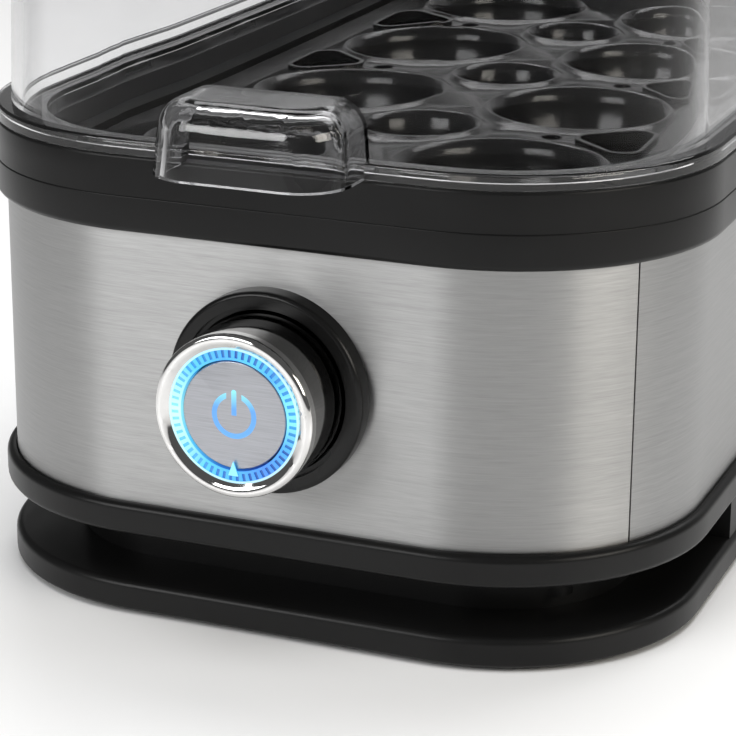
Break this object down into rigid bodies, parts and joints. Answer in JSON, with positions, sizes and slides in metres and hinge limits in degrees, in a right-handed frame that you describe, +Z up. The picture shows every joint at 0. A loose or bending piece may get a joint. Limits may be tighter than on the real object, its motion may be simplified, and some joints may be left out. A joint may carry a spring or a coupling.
{
  "type": "electric egg cooker",
  "caption": "Rectangular egg cooker with a clear lift-off lid, a black tray of egg cups, a brushed steel body on a black base, and a push-and-turn knob with a lit ring.",
  "frame": {"origin": "on the table, under the middle of the whole object with its knob", "axes": "+Z up; -Y out of the front, where the knob and the lid's handle are; +X to the right as seen from the front; +Y along the rows of cups to the back"},
  "size_m": [0.1472, 0.278, 0.1524],
  "materials": {
    "steel": "brushed lengthwise",
    "shell_black": "satin",
    "ring_black": "satin",
    "tray_black": "semi-gloss",
    "clear_plastic": "clear",
    "chrome": "polished",
    "button_metal": "spun",
    "light": "translucent",
    "symbol": "translucent",
    "pan": "spun",
    "black_rubber": "matt",
    "seal": "matt",
    "element": "matt",
    "hardware": "zinc plated",
    "board": "lacquered",
    "dark_plastic": "plain",
    "white_plastic": "plain",
    "wire": "plain",
    "led": "clear"
  },
  "bodies": {
    "base": {"base_shell": "shell_black", "foot_plate": "shell_black", "cord_gland": "shell_black", "knob_bezel": "shell_black", "rubber_feet": "black_rubber", "foot_screws": "hardware", "post_screws": "hardware", "steel_band": "steel", "lower_ring": "ring_black", "top_frame": "ring_black", "heating_pan": "pan", "pan_gasket": "seal", "heating_element": "element", "pan_bridges": "hardware", "bridge_nuts": "hardware", "thermostat": "pan", "thermostat_screws": "hardware", "thermal_fuse": "white_plastic", "bezel_nut": "dark_plastic", "core_sleeve": "dark_plastic", "led_board": "board", "leds": "led", "button_spring": "hardware", "control_board": "board", "board_screws": "hardware", "encoder_housing": "dark_plastic", "push_switch": "dark_plastic", "board_parts": "white_plastic", "terminal_block": "white_plastic", "inner_wires": "wire"},
    "knob": {"knob_skirt": "chrome", "face_rim": "chrome", "light_ring": "light", "encoder_rotor": "dark_plastic"},
    "button": {"button_cap": "button_metal", "power_symbol": "symbol", "button_plunger": "dark_plastic"},
    "tray": {"egg_tray": "tray_black"},
    "lid": {"lid": "clear_plastic"}
  },
  "joints": [
    {"name": "lid_lift", "type": "slide", "parent": "base", "child": "lid", "axis": [0, 0, 1], "range_m": [0, 0.07]},
    {"name": "tray_lift", "type": "slide", "parent": "base", "child": "tray", "axis": [0, 0, 1], "range_m": [0, 0.035]},
    {"name": "knob_turn", "type": "hinge", "parent": "base", "child": "knob", "pos_m": [0, -0.1275, 0.0505], "axis": [0, 1, 0], "continuous": true},
    {"name": "button_press", "type": "slide", "parent": "base", "child": "button", "axis": [0, 1, 0], "range_m": [0, 0.0015], "stiffness_N_per_m": 400, "springref_m": -0.002, "deforming": ["button_spring"]}
  ]
}
